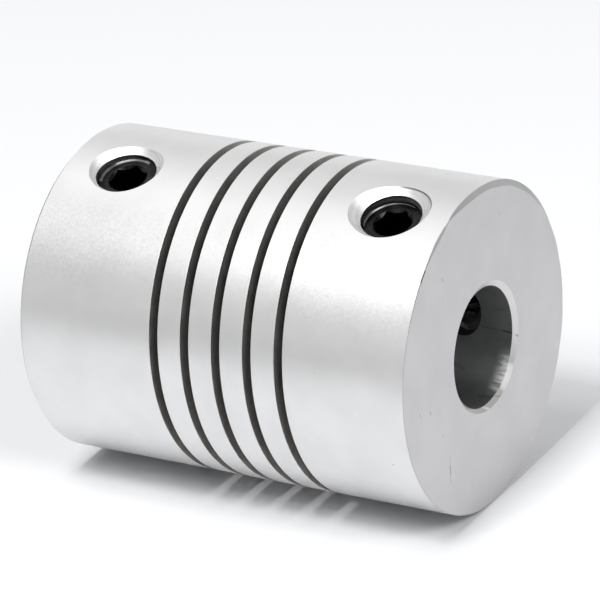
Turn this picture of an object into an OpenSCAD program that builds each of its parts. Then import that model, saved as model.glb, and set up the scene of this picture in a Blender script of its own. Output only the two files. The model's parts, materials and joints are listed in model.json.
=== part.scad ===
// Flexible beam coupling for two shafts, turned from one bar of aluminium.
// It stands on its small-bore end, with the shaft axis along +Z and the
// origin at the centre of the bottom face. Lengths are in millimetres.

/* [Barrel] */
// Outside diameter of the barrel
barrel_d = 19; // [18:0.5:25]
// Length from end face to end face
barrel_l = 25; // [24:0.5:34]
// Chamfer on the outer edge of both end faces
edge_chamfer = 0.2; // [0.1:0.05:0.5]

/* [Bores] */
// Diameter of the upper shaft bore
top_bore_d = 7; // [4:0.5:8]
// Diameter of the lower shaft bore
bottom_bore_d = 5; // [4:0.5:8]
// Width of the chamfer at each bore mouth, across the face
mouth_chamfer_w = 0.35; // [0.1:0.05:0.6]
// Depth of the chamfer at each bore mouth, along the axis
mouth_chamfer_h = 0.2; // [0.1:0.05:0.6]
// Diameter of the relief that frees the beam from the shafts
relief_d = 9; // [8.5:0.25:10]
// Length of the relief past the slit at each end
relief_past_slit = 0.4; // [0.2:0.05:0.6]

/* [Helical slit] */
// Width of the slit, along the axis
slit_w = 0.55; // [0.4:0.05:0.7]
// Rise of the slit in one turn
slit_pitch = 2.02; // [1.6:0.02:2.1]
// Turns that the slit makes on the barrel
slit_turns = 5; // [3:1:5]
// Where round the barrel the slit begins and ends, in degrees from +X
slit_end_angle = 50; // [0:5:90]
// Diameter of the disc cutter, which leaves the sloping run-outs
cutter_d = 25; // [20:1:40]

/* [Set screws] */
// Thread diameter of the set screws
screw_d = 4; // [3:0.5:4.5]
// Length of a set screw
screw_l = 4; // [3.5:0.25:4.5]
// Gap between a screw and its tapped hole, on the radius
screw_gap = 0.03; // [0.02:0.01:0.06]
// Hexagon socket, across the flats
socket_flats = 2; // [1.5:0.1:2.3]
// Depth of the hexagon socket
socket_depth = 1.8; // [1.2:0.1:2]
// Diameter of the cup at the point
cup_d = 2; // [1.4:0.1:2.2]
// Angle between the two screws of one hub
screw_spread = 90; // [75:5:120]
// Height of the top hub's screws below the top face
top_screw_inset = 3.95; // [3:0.05:4.2]
// Height of the bottom hub's screws above the bottom face
bottom_screw_inset = 3.8; // [3:0.05:4.2]
// Depth of the top hub's screws below the barrel's surface
top_screw_sink = 1; // [0.5:0.05:1.1]
// Depth of the bottom hub's screws below the barrel's surface
bottom_screw_sink = 0.75; // [0.5:0.05:1.1]
// Width of the countersink round the top hub's tapped holes
top_sink_w = 0.35; // [0.1:0.05:0.6]
// Width of the countersink round the bottom hub's tapped holes
bottom_sink_w = 0.2; // [0.1:0.05:0.6]

/* [Hidden] */
$fn = 96;
barrel_r = barrel_d / 2;
mid_z = barrel_l / 2;
front_angle = -90;
side_angle = front_angle - screw_spread;
top_screw_z = barrel_l - top_screw_inset;
bottom_screw_z = bottom_screw_inset;

// The slit is centred between the end faces
slit_rise = slit_pitch * slit_turns;
slit_start_z = mid_z - slit_rise / 2;
relief_half_l = slit_rise / 2 + slit_w / 2 + relief_past_slit;

// The cutter reaches this far inside the relief at full depth
slit_overcut = 0.3;
slit_floor_r = relief_d / 2 - slit_overcut;
cutter_r = cutter_d / 2;
cutter_axis_r = slit_floor_r + cutter_r;
// Turn from the full depth to where the cutter leaves the barrel's surface
run_out = acos((pow(barrel_r, 2) + pow(cutter_axis_r, 2) - pow(cutter_r, 2))
               / (2 * barrel_r * cutter_axis_r));
// Turn at which a ray from the axis only grazes the cutter
graze = asin(cutter_r / cutter_axis_r);
slit_outer_r = cutter_axis_r * cos(graze) + 0.5;
slit_lead = (graze - run_out) / 2;
slit_step = 7.5;
slit_stations = ceil((360 * slit_turns + 2 * slit_lead) / slit_step);

screw_r = screw_d / 2;
hole_r = screw_r + screw_gap;
screw_end_chamfer = 0.1 * screw_d;
cup_land = 0.12;
cup_angle = 120;
cup_depth = cup_d / 2 / tan(cup_angle / 2);

// Distance from the axis to the cutter's edge, at a turn from its plunge
function cutter_edge_r(turn) =
    cutter_axis_r * cos(turn) - sqrt(max(0, pow(cutter_r, 2) - pow(cutter_axis_r * sin(turn), 2)));

// Inner radius of the slit, at a turn along it from where it begins
function slit_inner_r(turn) =
    let (from_plunge = max(run_out - turn, turn - (360 * slit_turns - run_out), 0))
    cutter_edge_r(min(from_plunge, graze));

// Corners of the slit's section at one turn, inner lower corner first
function slit_section(turn) =
    let (a = slit_end_angle + turn,
         z = slit_start_z + slit_pitch * turn / 360,
         r = slit_inner_r(turn))
    [for (corner = [[r, -1], [slit_outer_r, -1], [slit_outer_r, 1], [r, 1]])
        [corner[0] * cos(a), corner[0] * sin(a), z + corner[1] * slit_w / 2]];

// The space that the disc cutter clears as it winds round the barrel
module slit() {
    turns = [for (i = [0:slit_stations])
        -slit_lead + i * (360 * slit_turns + 2 * slit_lead) / slit_stations];
    points = [for (turn = turns, p = slit_section(turn)) p];
    sides = [for (i = [0:slit_stations - 1], k = [0:3], half = [0, 1])
        let (a = 4 * i + k, b = 4 * i + (k + 1) % 4)
        half == 0 ? [a, b, a + 4] : [b, b + 4, a + 4]];
    last = 4 * slit_stations;
    ends = [[0, 2, 1], [0, 3, 2],
            [last, last + 1, last + 2], [last, last + 2, last + 3]];
    polyhedron(points = points, faces = concat(sides, ends));
}

// The barrel with its bores, chamfers and inner relief, turned as one profile
module turned_blank() {
    top_r = top_bore_d / 2;
    bottom_r = bottom_bore_d / 2;
    relief_r = relief_d / 2;
    rotate_extrude()
        polygon([
            [bottom_r + mouth_chamfer_w, 0],
            [barrel_r - edge_chamfer, 0],
            [barrel_r, edge_chamfer],
            [barrel_r, barrel_l - edge_chamfer],
            [barrel_r - edge_chamfer, barrel_l],
            [top_r + mouth_chamfer_w, barrel_l],
            [top_r, barrel_l - mouth_chamfer_h],
            [top_r, mid_z + relief_half_l],
            [relief_r, mid_z + relief_half_l],
            [relief_r, mid_z - relief_half_l],
            [bottom_r, mid_z - relief_half_l],
            [bottom_r, mouth_chamfer_h]
        ]);
}

// Puts what stands along +Z onto a radius of the barrel, pointing outwards
module on_radius(angle, z) {
    translate([0, 0, z])
        rotate([0, 90, angle])
            children();
}

// Tapped hole from a bore out through the barrel, with its countersink
module tapped_hole(angle, z, bore_d, sink_w) {
    from_r = bore_d / 4;
    reach = 1;
    on_radius(angle, z) {
        translate([0, 0, from_r])
            cylinder(r = hole_r, h = barrel_r + reach - from_r);
        translate([0, 0, barrel_r - sink_w])
            cylinder(r1 = hole_r, r2 = hole_r + sink_w + reach, h = sink_w + reach);
    }
}

// The turned barrel once its set screw holes are drilled and tapped
module drilled_blank() {
    difference() {
        turned_blank();
        for (angle = [front_angle, side_angle]) {
            tapped_hole(angle, top_screw_z, top_bore_d, top_sink_w);
            tapped_hole(angle, bottom_screw_z, bottom_bore_d, bottom_sink_w);
        }
    }
}

module coupling_body() {
    color("silver")
        difference() {
            drilled_blank();
            slit();
        }
}

// Cup-point set screw along +Z, with its point at the bottom
module screw_shape() {
    cup_r = cup_d / 2;
    point_r = cup_r + cup_land;
    difference() {
        rotate_extrude()
            polygon([
                [0, cup_depth],
                [cup_r, 0],
                [point_r, 0],
                [screw_r, screw_r - point_r],
                [screw_r, screw_l - screw_end_chamfer],
                [screw_r - screw_end_chamfer, screw_l],
                [0, screw_l]
            ]);
        translate([0, 0, screw_l - socket_depth])
            cylinder(d = socket_flats / cos(30), h = socket_depth + 1, $fn = 6);
    }
}

// A set screw in its hole, sunk below the barrel's surface
module set_screw(angle, z, sink) {
    color("dimgray")
        on_radius(angle, z)
            translate([0, 0, barrel_r - sink - screw_l])
                screw_shape();
}

module top_front_set_screw() {
    set_screw(front_angle, top_screw_z, top_screw_sink);
}

module top_side_set_screw() {
    set_screw(side_angle, top_screw_z, top_screw_sink);
}

module bottom_front_set_screw() {
    set_screw(front_angle, bottom_screw_z, bottom_screw_sink);
}

module bottom_side_set_screw() {
    set_screw(side_angle, bottom_screw_z, bottom_screw_sink);
}

coupling_body();
top_front_set_screw();
top_side_set_screw();
bottom_front_set_screw();
bottom_side_set_screw();
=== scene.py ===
import json
import math

import bmesh
import bpy
from mathutils import Matrix, Vector


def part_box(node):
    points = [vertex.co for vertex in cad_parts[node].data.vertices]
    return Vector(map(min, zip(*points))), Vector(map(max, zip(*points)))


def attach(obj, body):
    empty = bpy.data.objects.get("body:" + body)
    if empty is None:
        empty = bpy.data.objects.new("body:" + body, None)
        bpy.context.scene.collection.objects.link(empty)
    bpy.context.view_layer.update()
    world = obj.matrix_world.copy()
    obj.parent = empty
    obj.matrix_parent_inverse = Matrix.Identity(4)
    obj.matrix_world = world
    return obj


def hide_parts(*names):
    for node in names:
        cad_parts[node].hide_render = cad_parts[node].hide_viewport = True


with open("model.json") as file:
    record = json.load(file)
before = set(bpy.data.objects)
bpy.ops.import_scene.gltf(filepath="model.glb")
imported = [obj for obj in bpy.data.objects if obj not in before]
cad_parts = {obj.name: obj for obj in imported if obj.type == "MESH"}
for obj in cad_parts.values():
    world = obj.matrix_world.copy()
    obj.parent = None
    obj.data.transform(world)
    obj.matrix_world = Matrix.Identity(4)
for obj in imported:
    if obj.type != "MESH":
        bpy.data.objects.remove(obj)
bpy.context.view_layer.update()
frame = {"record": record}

# Meshes are made in millimetres and scaled to metres at the end
MM = 0.001

# The turned body, with its overall size and bores from the frame
_, body_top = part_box("coupling_body")
BARREL_R = body_top.x / MM
BARREL_L = body_top.z / MM
TOP_BORE_R = frame["record"]["mounts"][0]["dims"]["r_mm"]
BOTTOM_BORE_R = frame["record"]["mounts"][1]["dims"]["r_mm"]
EDGE_CHAMFER = 0.2
MOUTH_CHAMFER_W = 0.35
MOUTH_CHAMFER_H = 0.2
MOUTH_WIDE_ANGLE = -175.0
MOUTH_EVEN_SHARE = 0.85
MOUTH_OFF_CENTRE_SHARE = 0.2
LEAD_IN_ANGLE = 112.0
LEAD_IN_SPREAD = 28.0
LEAD_IN_W = 0.10
LEAD_IN_H = 0.5
RELIEF_R = 4.5
RELIEF_PAST_SLIT = 0.4
SLIT_W = 0.55
SLIT_PITCH = 2.02
SLIT_TURNS = 5
SLIT_END_ANGLE = 50.0
SLIT_OVERCUT = 0.3
SLIT_EDGE_BREAK = 0.015
SLIT_REACH = 0.4
SLIT_THINNEST = 0.002
CUTTER_R = 12.5
SEGMENTS = 240

# The top edge's chamfer is uneven, wide up to a light nick and thin beyond it:
# angle round the barrel, width across the face, depth down the barrel
RIM_CHAMFER = [
    (-180, 0.20, 0.20),
    (-150, 0.32, 0.12),
    (-127, 0.40, 0.10),
    (-108, 0.36, 0.10),
    (-102, 0.35, 0.12),
    (-96.5, 0.27, 0.14),
    (-93, 0.16, 0.12),
    (-90, 0.08, 0.09),
    (-88, 0.04, 0.04),
    (-86.5, 0.05, 0.04),
    (-84, 0.19, 0.08),
    (-78, 0.17, 0.08),
    (-74, 0.13, 0.05),
    (-68, 0.11, 0.035),
    (-60, 0.08, 0.025),
    (60, 0.07, 0.025),
    (90, 0.20, 0.20),
    (180, 0.20, 0.20),
]

# Faint ripple of that chamfer: share of its size, waves round the rim, phase
RIM_RIPPLES = [(0.05, 9, 0), (0.04, 23, 1)]

# The M4 set screws and their tapped holes
THREAD_PITCH = 0.7
THREAD_MAJOR_R = 2.0
THREAD_MINOR_R = 1.64
THREAD_MOUTH_R = 1.74
THREAD_START_DEPTH = 0.7
THREAD_FULL_DEPTH = 1.3
THREAD_LEAST_SHARE = 0.05
THREAD_ROOT_FLAT = 0.25
THREAD_FLANK = 0.625
BREAKOUT_R = 1.78
BREAKOUT_LEAN = 0.2
BREAKOUT_WORN_ANGLE = -124.0
BREAKOUT_WORN = 0.36
BREAKOUT_WORN_POWER = 8
SCREW_L = 4.0
SCREW_PLAY = 0.03
SCREW_END_R = 1.66
SOCKET_FLATS = 2.0
SOCKET_DEPTH = 1.8
SOCKET_ENTRY_W = 0.07
SOCKET_ENTRY_DEPTH = 0.5
CUP_R = 1.0
CUP_LAND = 0.12
CUP_HALF_ANGLE = 60.0
LIP_DEPTH = 0.07
CUT_MARGIN = 0.3
# The arc of each screw's lip in lighter steel: partly worn by rubbing, partly a painted highlight
RUB_AND_HIGHLIGHT_FROM, RUB_AND_HIGHLIGHT_TO = -116.0, 25.0

# Rows of a thread's mesh in one turn: where a countersink meets the hole, where the
# thread is seen, and elsewhere
MEETING_ROWS, SEEN_ROWS, HIDDEN_ROWS = 60, 20, 8
MEETING_REACH = 0.15
SEEN_BEFORE_BORE, SEEN_PAST_BORE, SEEN_UNDER_SURFACE = 1.0, 1.1, 1.4

HOLES = {
    # name: height, angle round the barrel, screw's depth, countersink's radius, screw's turn,
    # width of the screw's lip
    "top_front_set_screw": (21.05, -90.0, 1.0, 2.42, 14.0, 0.06),
    "top_side_set_screw": (21.05, 180.0, 1.0, 2.38, 47.0, 0.06),
    "bottom_front_set_screw": (3.8, -90.0, 0.75, 2.25, 31.0, 0.14),
    "bottom_side_set_screw": (3.8, 180.0, 0.75, 2.2, 5.0, 0.12),
}
# Each countersink stands a little off its hole: along the shaft, and round the barrel
SINK_SHIFTS = {
    "top_front_set_screw": (0.07, 0.06),
    "top_side_set_screw": (-0.04, 0.05),
    "bottom_front_set_screw": (0.09, -0.09),
    "bottom_side_set_screw": (0.05, 0.03),
}

# Small marks of handling, and two painted glints: from, to, width and strength, darker where
# positive and lighter where negative
FACE_MARKS = [
    ((2.36, -7.05, 25), (2.30, -6.85, 25), 0.10, 0.35),
    ((7.58, -1.67, 25), (7.60, -1.55, 25), 0.08, 0.45),
    ((6.65, -1.00, 25), (6.62, -0.85, 25), 0.10, 0.5),
    ((6.06, 1.20, 25), (6.08, 1.35, 25), 0.08, 0.3),
    ((5.95, 2.90, 25), (6.55, 4.40, 25), 0.07, 0.35),
    ((6.18, 3.45, 25), (6.34, 3.90, 25), 0.10, 0.5),
    ((2.70, -6.20, 25), (2.90, -5.60, 25), 0.06, 0.12),
    ((-4.45, -6.20, 25), (-4.53, -6.02, 25), 0.08, 0.25),
]
MOUTH_MARKS = [
    ((-2.98, 1.42, 24.9), (-3.31, 1.96, 25), 0.09, 0.8),
    # A painted glint on the mouth's chamfer
    ((1.62, 2.98, 24.85), (1.21, 3.53, 25), 0.15, -1.0),
    ((0.22, 3.50, 24.85), (-0.23, 3.82, 25), 0.06, 0.5),
]
BORE_MARKS = [
    ((-3.15, 1.53, 22.85), (-3.12, 1.59, 24.70), 0.05, 0.3),
    ((-3.13, 1.57, 24.25), (-3.11, 1.61, 24.75), 0.07, 0.5),
    ((0.42, 3.48, 24.00), (0.15, 3.50, 25.00), 0.06, 0.55),
    ((-1.52, 3.15, 21.50), (-1.28, 3.26, 22.25), 0.14, 0.15),
    ((-3.47, 0.42, 23.60), (-3.49, 0.28, 24.40), 0.05, 0.25),
    # A painted glint at the edge of the side hole in the bore
    ((-3.49, -0.42, 22.66), (-3.49, -0.18, 22.88), 0.06, -0.5),
]
BARREL_MARKS = [
    ((-4.84, -8.18, 21.95), (-4.84, -8.18, 22.2), 0.07, 0.5),
    ((9.48, 0.61, 23.7), (9.48, 0.62, 23.76), 0.06, 0.5),
    ((9.19, -2.40, 22.0), (9.17, -2.50, 22.02), 0.05, -0.3),
    ((8.40, -4.44, 19.6), (8.38, -4.48, 19.7), 0.05, -0.3),
]
RIM_STAIN = ((4.25, -8.45, 25), (3.72, -8.72, 25), 0.13)

# Tones: bare aluminium where the finish is cut or worn off, also used for the painted highlight at
# the bore's mouth, a mark's dark and light (the light also for painted glints), the stain, and the
# dark that painted shade mixes in
BARE = (0.93, 0.93, 0.93)
MARK_DARK = (0.25, 0.25, 0.25, 1)
MARK_LIGHT_AND_GLINT = (1, 1, 1, 1)
STAIN_TONE = (0.12, 0.09, 0.075, 1)
STAIN_STRENGTH = 0.8
SHADE_TONE = (0.06, 0.062, 0.065, 1)


def mesh_piece(name, points, faces):
    """A mesh object in millimetres, with its faces turned outwards."""
    mesh = bpy.data.meshes.new(name)
    mesh.from_pydata([tuple(p) for p in points], [], faces)
    work = bmesh.new()
    work.from_mesh(mesh)
    bmesh.ops.remove_doubles(work, verts=work.verts, dist=1e-5)
    bmesh.ops.recalc_face_normals(work, faces=work.faces)
    work.to_mesh(mesh)
    work.free()
    piece = bpy.data.objects.new(name, mesh)
    bpy.context.scene.collection.objects.link(piece)
    return piece


def ring(radius_at, z, count):
    """Points round the Z axis, at a radius that may depend on the angle."""
    points = []
    for k in range(count):
        turn = 2 * math.pi * k / count
        r = radius_at(turn)
        points.append((r * math.cos(turn), r * math.sin(turn), z))
    return points


def grid_faces(rows, columns, closed=False):
    """Quads between rings of points, which may close on themselves as a torus does."""
    faces = []
    for i in range(rows if closed else rows - 1):
        j = (i + 1) % rows
        for k in range(columns):
            m = (k + 1) % columns
            faces.append((i * columns + k, i * columns + m, j * columns + m, j * columns + k))
    return faces


def lathe(name, heights, radius_at, count):
    """A closed round piece whose radius is a function of its angle and height."""
    points = []
    for h in heights:
        points += ring(lambda turn: radius_at(turn, h), h, count)
    faces = grid_faces(len(heights), count)
    faces.append(tuple(range(count)))
    faces.append(tuple(range((len(heights) - 1) * count, len(heights) * count)))
    return mesh_piece(name, points, faces)


def cut(piece, *cutters):
    """Takes the cutters out of the piece, one after the other."""
    for cutter in cutters:
        modifier = piece.modifiers.new("cut", "BOOLEAN")
        modifier.operation = "DIFFERENCE"
        modifier.solver = "EXACT"
        modifier.object = cutter
        graph = bpy.context.evaluated_depsgraph_get()
        mesh = bpy.data.meshes.new_from_object(piece.evaluated_get(graph))
        piece.modifiers.clear()
        piece.data = mesh
        bpy.data.objects.remove(cutter)


def rim_chamfer(turn, column):
    """Width (column 1) or depth (column 2) of the top edge's chamfer, at an angle in radians."""
    angle = (math.degrees(turn) + 180) % 360 - 180
    for before, after in zip(RIM_CHAMFER, RIM_CHAMFER[1:]):
        if before[0] <= angle <= after[0]:
            share = (angle - before[0]) / (after[0] - before[0])
            size = before[column] + (after[column] - before[column]) * share
            break
    ripple = 1
    for share, waves, phase in RIM_RIPPLES:
        ripple += share * math.sin(waves * turn + phase)
    return size * ripple


def mouth_chamfer(turn):
    """Width of the upper bore's chamfer, cut a little off centre, at an angle in radians."""
    off_centre = MOUTH_OFF_CENTRE_SHARE * math.cos(turn - math.radians(MOUTH_WIDE_ANGLE))
    return MOUTH_CHAMFER_W * (MOUTH_EVEN_SHARE + off_centre) + lead_in(turn) / 2


def lead_in(turn):
    """How far the upper bore's mouth is worn wide under its chamfer, at an angle in radians."""
    off = (math.degrees(turn) - LEAD_IN_ANGLE + 180) % 360 - 180
    share = max(0, 1 - (off / LEAD_IN_SPREAD) ** 2)
    return LEAD_IN_W * share ** 2


def turned_blank():
    """The barrel as turned: outside, end faces, chamfers, bores and the relief between them."""
    mid = BARREL_L / 2
    relief = SLIT_PITCH * SLIT_TURNS / 2 + SLIT_W / 2 + RELIEF_PAST_SLIT
    profile = [
        (BOTTOM_BORE_R + MOUTH_CHAMFER_W, 0),
        (BARREL_R - EDGE_CHAMFER, 0),
        (BARREL_R, EDGE_CHAMFER),
        (BARREL_R, BARREL_L / 2),
        "rim",
        "mouth",
        "lead_in",
        (TOP_BORE_R, BARREL_L - MOUTH_CHAMFER_H - LEAD_IN_H),
        (TOP_BORE_R, mid + relief),
        (RELIEF_R, mid + relief),
        (RELIEF_R, mid - relief),
        (BOTTOM_BORE_R, mid - relief),
        (BOTTOM_BORE_R, MOUTH_CHAMFER_H),
    ]
    points = []
    rings = 0
    for corner in profile:
        if corner == "rim":
            points += [(x, y, z - rim_chamfer(math.atan2(y, x), 2))
                       for x, y, z in ring(lambda turn: BARREL_R, BARREL_L, SEGMENTS)]
            points += ring(lambda turn: BARREL_R - rim_chamfer(turn, 1), BARREL_L, SEGMENTS)
            rings += 2
        elif corner == "mouth":
            points += ring(lambda turn: TOP_BORE_R + mouth_chamfer(turn), BARREL_L, SEGMENTS)
            rings += 1
        elif corner == "lead_in":
            z = BARREL_L - MOUTH_CHAMFER_H
            points += ring(lambda turn: TOP_BORE_R + lead_in(turn), z, SEGMENTS)
            rings += 1
        else:
            points += ring(lambda turn: corner[0], corner[1], SEGMENTS)
            rings += 1
    return mesh_piece("blank", points, grid_faces(rings, SEGMENTS, closed=True))


def cutter_edge_r(turn, axis_r):
    """How far the disc cutter's edge is from the shaft axis, at an angle from its plunge."""
    inside = CUTTER_R ** 2 - (axis_r * math.sin(turn)) ** 2
    return axis_r * math.cos(turn) - math.sqrt(max(0, inside))


def slit_cutter():
    """The helical slit's space, flared at the surface so that its edges are broken."""
    floor_r = RELIEF_R - SLIT_OVERCUT
    axis_r = floor_r + CUTTER_R
    run_out = math.acos((BARREL_R ** 2 + axis_r ** 2 - CUTTER_R ** 2) / (2 * BARREL_R * axis_r))
    graze = math.asin(CUTTER_R / axis_r)
    total = 2 * math.pi * SLIT_TURNS
    step = 2 * math.pi / SEGMENTS
    lead = math.floor((graze - run_out) / 2 / step) * step
    start_z = BARREL_L / 2 - SLIT_PITCH * SLIT_TURNS / 2
    stations = round((total + 2 * lead) / step) + 1
    points = []
    for i in range(stations):
        turn = i * step - lead
        from_plunge = max(run_out - turn, turn - (total - run_out), 0)
        inner_r = cutter_edge_r(min(from_plunge, graze), axis_r)
        break_r = max(BARREL_R - SLIT_EDGE_BREAK, inner_r + SLIT_THINNEST)
        angle = math.radians(SLIT_END_ANGLE) + turn
        z = start_z + SLIT_PITCH * turn / (2 * math.pi)
        half = SLIT_W / 2
        flare = half + SLIT_REACH + BARREL_R - break_r
        section = [(inner_r, -half), (break_r, -half), (break_r + flare - half, -flare)]
        section += [(r, -side) for r, side in reversed(section)]
        for r, side in section:
            points.append((r * math.cos(angle), r * math.sin(angle), z + side))
    faces = grid_faces(stations, 6)
    faces.append(tuple(range(6)))
    faces.append(tuple(range((stations - 1) * 6, stations * 6)))
    return mesh_piece("slit", points, faces)


def thread_share(turn, h):
    """Where a right-hand thread's profile stands, from 0 at its root to 1 at its crest."""
    phase = (h / THREAD_PITCH - turn / (2 * math.pi)) % 1
    return min(1, max(0, (abs(2 * phase - 1) - THREAD_ROOT_FLAT) / THREAD_FLANK))


def onto_radius(piece, z, angle):
    """Turns what stands along +Z onto a radius of the barrel, pointing outwards."""
    turn = Matrix.Rotation(math.radians(angle), 4, "Z") @ Matrix.Rotation(math.pi / 2, 4, "Y")
    piece.data.transform(Matrix.Translation((0, 0, z)) @ turn)
    return piece


def tapped_hole_cutter(name):
    """A tapped hole's space, from inside the bore out through its countersink."""
    z, angle, _, mouth_r, _, _ = HOLES[name]
    shift_x, shift_y = SINK_SHIFTS[name]
    bore_r = TOP_BORE_R if z > BARREL_L / 2 else BOTTOM_BORE_R
    heights = [bore_r / 2]
    while heights[-1] < BARREL_R + 1:
        h = heights[-1]
        at_bore = bore_r - SEEN_BEFORE_BORE < h < bore_r + SEEN_PAST_BORE
        seen = at_bore or h > BARREL_R - SEEN_UNDER_SURFACE
        meeting = abs(BARREL_R - mouth_r + THREAD_MOUTH_R - h) < MEETING_REACH
        rows = MEETING_ROWS if meeting else SEEN_ROWS if seen else HIDDEN_ROWS
        heights.append(h + THREAD_PITCH / rows)

    def radius_at(turn, h):
        started = BARREL_R - h - THREAD_START_DEPTH
        fullness = started / (THREAD_FULL_DEPTH - THREAD_START_DEPTH)
        fullness = min(1, max(THREAD_LEAST_SHARE, fullness))
        crest_r = THREAD_MOUTH_R + (THREAD_MINOR_R - THREAD_MOUTH_R) * fullness
        depth = thread_share(turn, h) * (THREAD_MAJOR_R - THREAD_MINOR_R) * fullness
        shift = shift_y * math.sin(turn) - shift_x * math.cos(turn)
        towards_wear = max(0, math.cos(turn - math.radians(BREAKOUT_WORN_ANGLE)))
        worn = BREAKOUT_WORN * towards_wear ** BREAKOUT_WORN_POWER
        cleared = BREAKOUT_R - BREAKOUT_LEAN * math.sin(turn) + worn
        cleared = min(cleared, THREAD_MAJOR_R + bore_r - h)
        return max(crest_r + depth, mouth_r + shift + h - BARREL_R, cleared)

    return onto_radius(lathe("hole", heights, radius_at, 96), z, angle)


def coupling_body():
    """The whole turned, drilled, tapped and slit body."""
    body = turned_blank()
    cut(body, *[tapped_hole_cutter(name) for name in HOLES])
    cut(body, slit_cutter())
    body.name = body.data.name = "turned_body"
    return body


def set_screw(name, steel, rubbed_steel):
    """A cup-point set screw with its thread, chamfers and hexagon socket, and a lip whose lighter
    arc is partly worn by rubbing and partly a painted highlight.
    """
    z, angle, sink, _, clocking, lip = HOLES[name]
    steps = round(SCREW_L / THREAD_PITCH * SEEN_ROWS)
    heights = [SCREW_L * i / steps for i in range(steps + 1)]
    slope = math.tan(math.radians(CUP_HALF_ANGLE))
    corner_r = SOCKET_FLATS / math.sqrt(3)

    def radius_at(turn, h):
        depth = thread_share(turn, h) * (THREAD_MAJOR_R - THREAD_MINOR_R)
        thread = THREAD_MAJOR_R - SCREW_PLAY - depth
        return min(thread, SCREW_END_R + SCREW_L - h, CUP_R + CUP_LAND + h)

    screw = lathe(name + "_shape", heights, radius_at, 96)
    past_top = SCREW_L + CUT_MARGIN
    cup = lathe("cup", [-CUT_MARGIN, 0, CUP_R / slope],
                lambda turn, h: max(0.002, CUP_R - h * slope), 48)
    socket = lathe("socket", [SCREW_L - SOCKET_DEPTH, past_top], lambda turn, h: corner_r, 6)
    entry = lathe("entry", [SCREW_L - SOCKET_ENTRY_DEPTH, past_top],
                  lambda turn, h: corner_r + SOCKET_ENTRY_W + h - SCREW_L, 48)
    floor_r = SCREW_END_R - 0.01 - lip
    dish = lathe("dish", [SCREW_L - LIP_DEPTH, past_top],
                 lambda turn, h: floor_r + (h - SCREW_L + LIP_DEPTH) * lip / LIP_DEPTH, 96)
    cut(screw, cup, socket, entry, dish)
    screw.data.transform(Matrix.Rotation(math.radians(clocking), 4, "Z"))
    screw.data.materials.append(steel)
    screw.data.materials.append(rubbed_steel)
    for face in screw.data.polygons:
        r = math.hypot(*face.center.xy)
        turn = math.degrees(math.atan2(face.center.y, face.center.x))
        on_lip = floor_r < r < SCREW_END_R + 0.02 and face.center.z > SCREW_L - LIP_DEPTH
        # Lighter steel on one arc of the lip: partly worn by rubbing, partly a painted highlight
        rubbed_and_highlight = on_lip and face.normal.z < 0.98 and RUB_AND_HIGHLIGHT_FROM < turn < RUB_AND_HIGHLIGHT_TO
        face.material_index = 1 if rubbed_and_highlight else 0
    screw.data.transform(Matrix.Translation((0, 0, BARREL_R - sink - SCREW_L)))
    onto_radius(screw, z, angle)
    screw.name = screw.data.name = name + "_steel"
    return screw


def finish_mesh(piece, sharp_angle):
    """Scales a piece to metres and shades it smooth up to an angle, with flat end faces."""
    piece.data.transform(Matrix.Scale(MM, 4))
    piece.data.set_sharp_from_angle(angle=math.radians(sharp_angle))
    for face in piece.data.polygons:
        face.use_smooth = abs(face.normal.z) < 0.9999
    piece.data.update()


# Steps that the materials are built from

def plug(tree, value, socket):
    """Feeds a socket with a number, a vector or another node's output."""
    if isinstance(value, bpy.types.NodeSocket):
        tree.links.new(value, socket)
    else:
        socket.default_value = value


def sum_up(tree, operation, *values):
    """One step of arithmetic on numbers."""
    node = tree.nodes.new("ShaderNodeMath")
    node.operation = operation
    for value, socket in zip(values, node.inputs):
        plug(tree, value, socket)
    return node.outputs[0]


def vector_step(tree, operation, first, second, output="Vector"):
    """One step of arithmetic on vectors."""
    node = tree.nodes.new("ShaderNodeVectorMath")
    node.operation = operation
    plug(tree, first, node.inputs[0])
    plug(tree, second, node.inputs["Scale"] if operation == "SCALE" else node.inputs[1])
    return node.outputs[output]


def place_in_mm(tree):
    """The point on the piece, in millimetres."""
    coords = tree.nodes.new("ShaderNodeTexCoord")
    return vector_step(tree, "SCALE", coords.outputs["Object"], 1 / MM)


def noise(tree, place, scale, detail=2.0):
    node = tree.nodes.new("ShaderNodeTexNoise")
    plug(tree, place, node.inputs["Vector"])
    node.inputs["Scale"].default_value = scale
    node.inputs["Detail"].default_value = detail
    return node.outputs[0]


def between(tree, value, low, high, new_low, new_high, smooth=False):
    """Maps a value from one range to another, without leaving the new range."""
    node = tree.nodes.new("ShaderNodeMapRange")
    node.interpolation_type = "SMOOTHSTEP" if smooth else "LINEAR"
    for socket, number in zip(node.inputs, (value, low, high, new_low, new_high)):
        plug(tree, number, socket)
    return node.outputs[0]


def mix_colour(tree, share, first, second):
    node = tree.nodes.new("ShaderNodeMix")
    node.data_type = "RGBA"
    plug(tree, share, node.inputs[0])
    plug(tree, first, node.inputs[6])
    plug(tree, second, node.inputs[7])
    return node.outputs[2]


def bump(tree, shader, height, strength, distance_mm):
    node = tree.nodes.new("ShaderNodeBump")
    node.inputs["Strength"].default_value = strength
    node.inputs["Distance"].default_value = distance_mm * MM
    plug(tree, height, node.inputs["Height"])
    tree.links.new(node.outputs[0], shader.inputs["Normal"])


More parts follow.
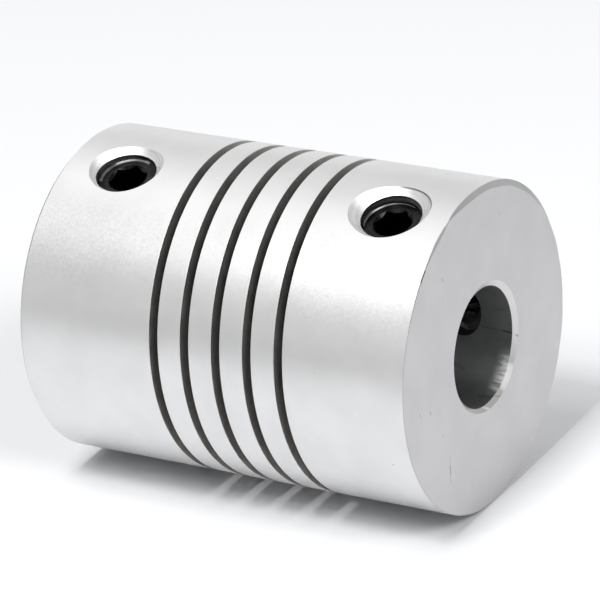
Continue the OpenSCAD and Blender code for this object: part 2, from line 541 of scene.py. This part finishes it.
def scratch(tree, place, start, end, width):
    """1 on the line from start to end, and 0 beyond its width."""
    start, end = Vector(start), Vector(end)
    along = end - start
    from_start = vector_step(tree, "SUBTRACT", place, start)
    share = vector_step(tree, "DOT_PRODUCT", from_start, along / along.length_squared, "Value")
    share = between(tree, share, 0, 1, 0, 1)
    nearest = tree.nodes.new("ShaderNodeVectorMath")
    nearest.operation = "SCALE"
    nearest.inputs[0].default_value = along
    plug(tree, share, nearest.inputs["Scale"])
    away = vector_step(tree, "DISTANCE", from_start, nearest.outputs[0], "Value")
    return between(tree, away, width * 0.3, width, 1, 0, smooth=True)


def facing(tree, place, angle):
    """1 where a point lies at this angle round the shaft, less to both sides of it."""
    flat = vector_step(tree, "MULTIPLY", place, (1, 1, 0))
    unit = tree.nodes.new("ShaderNodeVectorMath")
    unit.operation = "NORMALIZE"
    plug(tree, flat, unit.inputs[0])
    a = math.radians(angle)
    return vector_step(tree, "DOT_PRODUCT", unit.outputs[0], (math.cos(a), math.sin(a), 0), "Value")


def metal(name, roughness):
    material = bpy.data.materials.new(name)
    material.use_nodes = True
    shader = material.node_tree.nodes["Principled BSDF"]
    shader.inputs["Metallic"].default_value = 1
    shader.inputs["Roughness"].default_value = roughness
    return material, material.node_tree, shader


def satin_aluminium(name, tone, roughness, marks, stain=None, worn=None):
    """Blasted and clear anodised aluminium: fine even grain, faint blotches and small marks."""
    material, tree, shader = metal(name, roughness)
    place = place_in_mm(tree)
    blotch = noise(tree, place, 0.35, 3)
    grain = noise(tree, place, 9.0, 3)
    light = tuple(min(1, c * 1.03) for c in tone) + (1,)
    dark = tuple(c * 0.97 for c in tone) + (1,)
    colour = mix_colour(tree, between(tree, blotch, 0.35, 0.65, 0, 1), dark, light)
    # A bare patch at one angle round the shaft; at the bore's mouth it is partly worn metal and
    # partly a painted highlight.
    if worn:
        angle, outer, inner = worn
        there = between(tree, facing(tree, place, angle), outer, inner, 0, 1, smooth=True)
        colour = mix_colour(tree, there, colour, BARE + (1,))
    for start, end, width, strength in marks:
        there = scratch(tree, place, start, end, width)
        tint = MARK_DARK if strength > 0 else MARK_LIGHT_AND_GLINT
        colour = mix_colour(tree, sum_up(tree, "MULTIPLY", there, abs(strength)), colour, tint)
    if stain:
        there = scratch(tree, place, *stain)
        share = sum_up(tree, "MULTIPLY", there, STAIN_STRENGTH)
        colour = mix_colour(tree, share, colour, STAIN_TONE)
    tree.links.new(colour, shader.inputs["Base Color"])
    rough = between(tree, grain, 0.3, 0.7, roughness - 0.03, roughness + 0.03)
    tree.links.new(rough, shader.inputs["Roughness"])
    bump(tree, shader, grain, 0.25, 0.004)
    return material


def machined_aluminium(name, tone, roughness, lines, line_scale, depth_mm, contrast=0.15,
                       shade=None):
    """Bare aluminium with the tool's fine lines, which run along the coordinate's own levels."""
    material, tree, shader = metal(name, roughness)
    place = place_in_mm(tree)
    fine = noise(tree, lines(tree, place), line_scale, 3)
    patch = noise(tree, place, 1.2, 2)
    light = tuple(min(1, c * (1 + contrast / 2)) for c in tone) + (1,)
    dark = tuple(c * (1 - contrast) for c in tone) + (1,)
    colour = mix_colour(tree, between(tree, fine, 0.35, 0.65, 0, 1), dark, light)
    if shade:
        colour = mix_colour(tree, shade(tree, place), colour, SHADE_TONE)
    tree.links.new(colour, shader.inputs["Base Color"])
    rough = between(tree, patch, 0.3, 0.7, roughness - 0.04, roughness + 0.04)
    tree.links.new(rough, shader.inputs["Roughness"])
    bump(tree, shader, fine, 0.5, depth_mm)
    return material


def bored_aluminium():
    """The bores' smooth grey wall, with a few scratches and, at the mouth, a streaky bright patch
    that is partly worn bare metal and partly a painted highlight.
    """
    material, tree, shader = metal("bored_inside", 0.4)
    place = place_in_mm(tree)
    streak = noise(tree, along_the_shaft(tree, place), 7.0, 3)
    soft = noise(tree, place, 0.8, 2)
    colour = mix_colour(tree, between(tree, soft, 0.35, 0.65, 0, 1),
                        (0.47, 0.485, 0.48, 1), (0.54, 0.555, 0.55, 1))
    for start, end, width, strength in BORE_MARKS:
        there = scratch(tree, place, start, end, width)
        # Lighter marks here are painted glints, in a pinkish white
        tint = (0.05, 0.05, 0.05, 1) if strength > 0 else (0.95, 0.85, 0.85, 1)
        colour = mix_colour(tree, sum_up(tree, "MULTIPLY", there, abs(strength)), colour, tint)
    split = tree.nodes.new("ShaderNodeSeparateXYZ")
    plug(tree, place, split.inputs[0])
    # Painted highlight, partly worn bare metal: the bore turns near white by the mouth at the
    # lead-in's angle.
    here = between(tree, facing(tree, place, LEAD_IN_ANGLE), 0.88, 0.97, 0, 1, smooth=True)
    near = between(tree, split.outputs["Z"], BARREL_L - 1.1, BARREL_L - 0.3, 0, 1, smooth=True)
    streaky = between(tree, streak, 0.42, 0.55, 0.35, 1)
    bright = sum_up(tree, "MULTIPLY", sum_up(tree, "MULTIPLY", here, near), streaky)
    colour = mix_colour(tree, bright, colour, BARE + (1,))
    tree.links.new(colour, shader.inputs["Base Color"])
    rough = between(tree, bright, 0, 1, 0.4, 0.65)
    tree.links.new(rough, shader.inputs["Roughness"])
    bump(tree, shader, streak, 0.3, 0.003)
    return material


def round_the_shaft(tree, place):
    """Levels of height along the shaft, so that lines run round it, with some drift."""
    return vector_step(tree, "MULTIPLY", place, (0.05, 0.05, 1))


def along_the_shaft(tree, place):
    """Levels of angle round the shaft, so that lines run along it, with some drift."""
    return vector_step(tree, "MULTIPLY", place, (1, 1, 0.06))


def round_the_hole(tree, place):
    """Levels of distance from the nearest set screw's axis."""
    nearest = None
    for z, angle, *_ in HOLES.values():
        across = (1, 0, 1) if angle == -90 else (0, 1, 1)
        from_axis = vector_step(tree, "MULTIPLY", place, across)
        away = vector_step(tree, "DISTANCE", from_axis, (0, 0, z), "Value")
        nearest = away if nearest is None else sum_up(tree, "MINIMUM", nearest, away)
    join = tree.nodes.new("ShaderNodeCombineXYZ")
    plug(tree, nearest, join.inputs["X"])
    drift = vector_step(tree, "SCALE", place, 0.06)
    return vector_step(tree, "ADD", join.outputs[0], drift)


def from_the_shaft(tree, place):
    """How far a point is from the shaft's axis."""
    flat = vector_step(tree, "MULTIPLY", place, (1, 1, 0))
    return vector_step(tree, "DISTANCE", flat, (0, 0, 0), "Value")


def painted_shade_deep_in_slit(tree, place):
    """Painted shade on the slit's walls: grows with depth below the barrel's surface, darkening the
    slit where light hardly reaches.
    """
    return between(tree, from_the_shaft(tree, place), BARREL_R - 0.75, BARREL_R - 1.15, 0, 0.75)


def painted_burr_shade(tree, place):
    """Painted shade of a burr: a dark line along the upper edge of the top front countersink."""
    height = HOLES["top_front_set_screw"][0]
    from_centre = vector_step(tree, "SUBTRACT", place, (0, -BARREL_R, height))
    towards = vector_step(tree, "DOT_PRODUCT", from_centre, (-0.71, 0, 0.71), "Value")
    here = between(tree, towards, 0.9, 1.5, 0, 1, smooth=True)
    edge = between(tree, from_the_shaft(tree, place), BARREL_R - 0.10, BARREL_R - 0.05, 0, 0.8)
    return sum_up(tree, "MULTIPLY", here, edge)


def oxide_steel(name, dark, light, roughness):
    """Blackened steel, lightly oiled, between two tones that change in soft clouds."""
    material, tree, shader = metal(name, roughness)
    place = place_in_mm(tree)
    cloud = noise(tree, place, 1.5, 3)
    grain = noise(tree, place, 14.0, 2)
    colour = mix_colour(tree, between(tree, cloud, 0.35, 0.7, 0, 1), dark + (1,), light + (1,))
    tree.links.new(colour, shader.inputs["Base Color"])
    rough = between(tree, cloud, 0.3, 0.7, roughness - 0.06, roughness + 0.06)
    tree.links.new(rough, shader.inputs["Roughness"])
    bump(tree, shader, grain, 0.2, 0.004)
    return material


def surface_kind(centre, normal):
    """Which finish a face of the body has, from where it lies and which way it faces."""
    r = math.hypot(centre.x, centre.y)
    radial = Vector((centre.x, centre.y, 0)).normalized().dot(normal)
    in_slit = abs(centre.z - BARREL_L / 2) < SLIT_PITCH * SLIT_TURNS / 2 + SLIT_W
    if abs(normal.z) > 0.999 and (centre.z < 0.01 or centre.z > BARREL_L - 0.01):
        return "face"
    if r > BARREL_R - 0.01 and radial > 0.99:
        return "barrel"
    for z, angle, _, mouth_r, _, _ in HOLES.values():
        a = math.radians(angle)
        outward = centre.x * math.cos(a) + centre.y * math.sin(a)
        aside = -centre.x * math.sin(a) + centre.y * math.cos(a)
        away = math.hypot(aside, centre.z - z)
        if outward > 0 and away < mouth_r + 0.15:
            off_cone = abs(away - (mouth_r + outward - BARREL_R))
            facing_out = normal.x * math.cos(a) + normal.y * math.sin(a)
            if off_cone < 0.14 and 0.6 < facing_out < 0.8 and away > THREAD_MOUTH_R - 0.02:
                return "countersink"
            worn = BREAKOUT_WORN if outward < TOP_BORE_R + 0.3 else 0.02
            if away < THREAD_MAJOR_R + worn and abs(radial) < 0.95:
                return "thread"
    if in_slit and r > RELIEF_R + 0.02:
        return "slit"
    if r > RELIEF_R + 0.02:
        return "edge"
    return "mouth" if 0.45 < abs(normal.z) < 0.98 else "bore"


def dress_body(body):
    """Gives each face of the body the material of its finish."""
    finishes = {
        "barrel": satin_aluminium("satin_barrel", (0.72, 0.72, 0.72), 0.4, BARREL_MARKS),
        "face": satin_aluminium("satin_face", (0.57, 0.563, 0.574), 0.42, FACE_MARKS),
        "edge": satin_aluminium("worn_edge", (0.52, 0.52, 0.52), 0.5, [], RIM_STAIN),
        # The mouth's bare patch at the lead-in is partly worn metal and partly a painted highlight.
        "mouth": satin_aluminium("bore_mouth", (0.66, 0.65, 0.645), 0.4, MOUTH_MARKS, None,
                                 (LEAD_IN_ANGLE, 0.965, 0.985)),
        # The countersink's dark line along one edge is painted shade of a burr.
        "countersink": machined_aluminium(
            "drilled_countersink", BARE, 0.5, round_the_hole,
            line_scale=9.0, depth_mm=0.004, contrast=0.12, shade=painted_burr_shade),
        # The tapped thread's dark tone is painted shade for the hole's recess, far darker than bare
        # aluminium.
        "thread": machined_aluminium(
            "tapped_thread", (0.15, 0.15, 0.14), 0.42, round_the_hole,
            line_scale=5.0, depth_mm=0.006, contrast=0.4),
        # The slit's walls carry painted shade that deepens inside the slit.
        "slit": machined_aluminium(
            "sawn_slit", (0.69, 0.68, 0.66), 0.45, round_the_shaft,
            line_scale=12.0, depth_mm=0.004, contrast=0.08, shade=painted_shade_deep_in_slit),
        "bore": bored_aluminium(),
    }
    names = list(finishes)
    body.data.materials.clear()
    for material in finishes.values():
        body.data.materials.append(material)
    for face in body.data.polygons:
        face.material_index = names.index(surface_kind(face.center / MM, face.normal))


# The camera stands as in the photograph: its turn and rise about the coupling,
# its roll, its distance and how far its centre line passes beside the middle
CAMERA_AZIMUTH = 45.0
CAMERA_ELEVATION = 29.14
CAMERA_ROLL = 99.54
CAMERA_DISTANCE = 255.9
CAMERA_ASIDE = 0.384
CAMERA_ABOVE = 0.860
CAMERA_LENS = 268.56
CAMERA_SENSOR = 36.0

# The surface that the coupling lies on in the photograph touches the barrel here
FLOOR_ANGLE = 73.3
FLOOR_R = 160.0
FLOOR_FADE_R = 110.0
FLOOR_GAP = 0.01
FLOOR_TONE = (0.66, 0.665, 0.675, 1)

# Directions of light: angle over the floor from the camera's side, and tilt along the
# shaft towards its upper end. Softboxes: angle, tilt, width, height, brightness
SOFTBOX_DISTANCE = 600.0
SOFTBOXES = [
    (61, -2, 9, 12, 42.4),
    (53, -2, 9, 12, 17.2),
    (47, -2, 9, 12, 12.5),
    (78, -2, 9, 12, 11.2),
    (69, -2, 9, 12, 10.6),
    (65, 42, 20, 20, 12.6),
    (29, -10, 12, 16, 0.6),
]

# Soft patches of the bright room round them: angle, tilt, spread, brightness
SKY_PATCHES = [
    (16, -32, 9, 1.39),
    (100, -32, 14, 1.65),
    (120, -32, 14, 0.69),
    (140, -32, 14, 0.89),
    (145, 62, 14, 0.71),
    (160, -32, 14, 0.34),
    (170, 35, 16, 0.45),
    (175, -32, 10, 1.13),
    (180, -15, 10, 1.40),
    (180, 0, 14, 0.62),
]
SKY_LEVEL = 0.39


def camera_axes():
    a, e, r = (math.radians(x) for x in (CAMERA_AZIMUTH, CAMERA_ELEVATION, CAMERA_ROLL))
    back = Vector((math.sin(a) * math.cos(e), -math.cos(a) * math.cos(e), math.sin(e)))
    level = Vector((math.cos(a), math.sin(a), 0))
    rise = back.cross(level)
    right = level * math.cos(r) + rise * math.sin(r)
    return right, back.cross(right), back


def add_camera():
    right, up, back = camera_axes()
    centre = Vector((0, 0, BARREL_L / 2))
    place = centre + back * CAMERA_DISTANCE + right * CAMERA_ASIDE + up * CAMERA_ABOVE
    data = bpy.data.cameras.new("camera")
    data.sensor_fit = "HORIZONTAL"
    data.sensor_width = CAMERA_SENSOR
    data.lens = CAMERA_LENS
    data.clip_start, data.clip_end = 0.01, 10
    camera = bpy.data.objects.new("camera", data)
    camera.matrix_world = (
        Matrix.Translation(place * MM)
        @ Matrix((right, up, back)).transposed().to_4x4())
    bpy.context.scene.collection.objects.link(camera)
    bpy.context.scene.camera = camera


def floor_axes():
    """Across the floor towards the camera, up from the floor, and along the shaft axis."""
    a = math.radians(FLOOR_ANGLE)
    up = Vector((-math.cos(a), -math.sin(a), 0))
    aside = Vector((math.sin(a), -math.cos(a), 0))
    return aside, up, Vector((0, 0, 1))


def floor_white():
    """Even matt white that fades out far away and is clear from below."""
    material = bpy.data.materials.new("floor_white")
    material.use_nodes = True
    tree = material.node_tree
    shader = tree.nodes["Principled BSDF"]
    shader.inputs["Base Color"].default_value = FLOOR_TONE
    shader.inputs["Roughness"].default_value = 0.9
    shader.inputs["Specular IOR Level"].default_value = 0.0
    coords = tree.nodes.new("ShaderNodeTexCoord")
    away = vector_step(tree, "DISTANCE", coords.outputs["Object"], (0, 0, 0), "Value")
    fade = between(tree, away, FLOOR_FADE_R * MM, FLOOR_R * MM, 0, 1, smooth=True)
    side = tree.nodes.new("ShaderNodeNewGeometry")
    clear_share = sum_up(tree, "MAXIMUM", fade, side.outputs["Backfacing"])
    clear = tree.nodes.new("ShaderNodeBsdfTransparent")
    mix = tree.nodes.new("ShaderNodeMixShader")
    plug(tree, clear_share, mix.inputs[0])
    tree.links.new(shader.outputs[0], mix.inputs[1])
    tree.links.new(clear.outputs[0], mix.inputs[2])
    tree.links.new(mix.outputs[0], tree.nodes["Material Output"].inputs["Surface"])
    return material


def add_floor():
    aside, up, along = floor_axes()
    count = 96
    points = [(0, 0, 0)] + ring(lambda turn: FLOOR_R, 0, count)
    faces = [(0, 1 + k, 1 + (k + 1) % count) for k in range(count)]
    mesh = bpy.data.meshes.new("floor")
    mesh.from_pydata(points, [], faces)
    mesh.transform(Matrix.Scale(MM, 4))
    mesh.materials.append(floor_white())
    floor = bpy.data.objects.new("floor", mesh)
    place = Vector((0, 0, BARREL_L / 2)) - up * (BARREL_R + FLOOR_GAP)
    axes = Matrix((aside, along, up)).transposed().to_4x4()
    floor.matrix_world = Matrix.Translation(place * MM) @ axes
    bpy.context.scene.collection.objects.link(floor)


def light_direction(angle, tilt):
    aside, up, along = floor_axes()
    b, t = math.radians(angle), math.radians(tilt)
    return (aside * math.cos(b) + up * math.sin(b)) * math.cos(t) + along * math.sin(t)


def add_softboxes():
    along = floor_axes()[2]
    centre = Vector((0, 0, BARREL_L / 2))
    for angle, tilt, width, height, brightness in SOFTBOXES:
        direction = light_direction(angle, tilt)
        data = bpy.data.lights.new("softbox", "AREA")
        data.shape = "RECTANGLE"
        data.size = 2 * SOFTBOX_DISTANCE * math.tan(math.radians(width / 2)) * MM
        data.size_y = 2 * SOFTBOX_DISTANCE * math.tan(math.radians(height / 2)) * MM
        data.energy = brightness * math.pi * data.size * data.size_y
        box = bpy.data.objects.new("softbox", data)
        across = along.cross(direction).normalized()
        axes = Matrix((across, direction.cross(across), direction)).transposed().to_4x4()
        place = centre + direction * SOFTBOX_DISTANCE
        box.matrix_world = Matrix.Translation(place * MM) @ axes
        box.visible_camera = False
        bpy.context.scene.collection.objects.link(box)


def sky_patch(tree, direction, spread, brightness):
    """A soft round patch of light on the sky, bright in one direction and fading round it."""
    coords = tree.nodes.new("ShaderNodeTexCoord")
    towards = vector_step(tree, "DOT_PRODUCT", coords.outputs["Generated"], direction, "Value")
    sharpness = 1 / (1 - math.cos(math.radians(spread)))
    fall = sum_up(tree, "MULTIPLY", sum_up(tree, "SUBTRACT", towards, 1.0), sharpness)
    return sum_up(tree, "MULTIPLY", sum_up(tree, "EXPONENT", fall), brightness)


def add_world():
    """A white backdrop for the camera, and the bright room's soft light for everything else."""
    world = bpy.data.worlds.new("studio")
    world.use_nodes = True
    bpy.context.scene.world = world
    tree = world.node_tree
    tree.nodes.clear()
    total = SKY_LEVEL
    for angle, tilt, spread, brightness in SKY_PATCHES:
        patch = sky_patch(tree, light_direction(angle, tilt), spread, brightness)
        total = sum_up(tree, "ADD", patch, total)
    lit = tree.nodes.new("ShaderNodeBackground")
    plug(tree, total, lit.inputs["Strength"])
    seen = tree.nodes.new("ShaderNodeBackground")
    seen.inputs["Color"].default_value = (1, 1, 1, 1)
    path = tree.nodes.new("ShaderNodeLightPath")
    mix = tree.nodes.new("ShaderNodeMixShader")
    out = tree.nodes.new("ShaderNodeOutputWorld")
    tree.links.new(path.outputs["Is Camera Ray"], mix.inputs[0])
    tree.links.new(lit.outputs[0], mix.inputs[1])
    tree.links.new(seen.outputs[0], mix.inputs[2])
    tree.links.new(mix.outputs[0], out.inputs["Surface"])


def place_piece(piece, node):
    """Lets a finished piece stand for its solid."""
    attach(piece, "root")
    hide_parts(node)


add_camera()
body = coupling_body()
finish_mesh(body, 30)
dress_body(body)
place_piece(body, "coupling_body")

steel = oxide_steel("black_oxide_steel", (0.010, 0.010, 0.0105), (0.024, 0.0245, 0.024), 0.3)
# Lighter steel for the lip's arc: partly worn by rubbing, partly a painted highlight
rubbed_and_highlight = oxide_steel("rubbed_steel", (0.13, 0.128, 0.126), (0.26, 0.255, 0.25), 0.42)
for name in HOLES:
    screw = set_screw(name, steel, rubbed_and_highlight)
    finish_mesh(screw, 35)
    place_piece(screw, name)

add_floor()
add_softboxes()
add_world()
bpy.context.scene.view_settings.view_transform = "Standard"
